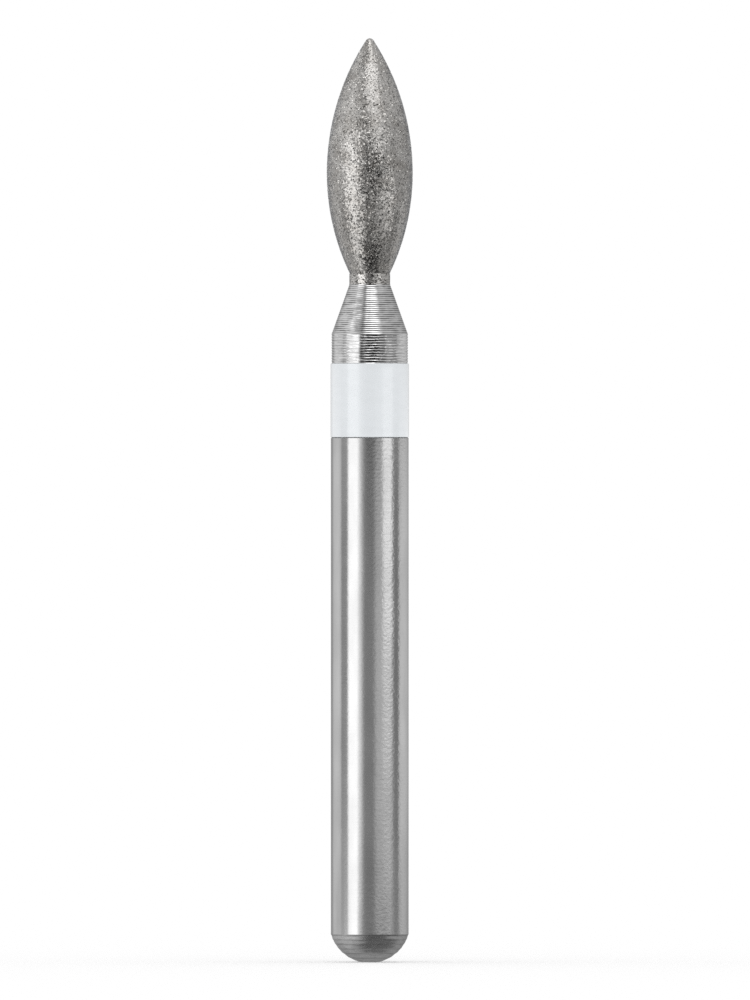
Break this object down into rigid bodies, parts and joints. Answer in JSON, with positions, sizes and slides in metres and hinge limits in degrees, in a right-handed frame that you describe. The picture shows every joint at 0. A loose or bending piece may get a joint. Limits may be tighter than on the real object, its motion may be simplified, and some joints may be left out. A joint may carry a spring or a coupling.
{
  "type": "dental bur",
  "caption": "Friction-grip dental bur: a ground steel shank with a white grit ring, a turned neck and a flame-shaped head plated with diamond grit.",
  "frame": {"origin": "centre of the flat on the domed shank end, which bottoms in the chuck", "axes": "+Z along the bur's axis, from the shank end to the tip of the head; X and Y across it, all alike"},
  "size_m": [0.0018, 0.0018, 0.019],
  "materials": {
    "steel": "ground bright on the shank, turned with fine feed marks on the collar, cone and neck",
    "diamond_grit": "satin nickel full of fine diamond grains, rough and glinting",
    "white_lacquer": "smooth white lacquer, half gloss"
  },
  "bodies": {
    "root": {"steel_blank": "steel", "diamond_coating": "diamond_grit", "colour_ring": "white_lacquer"}
  },
  "joints": []
}
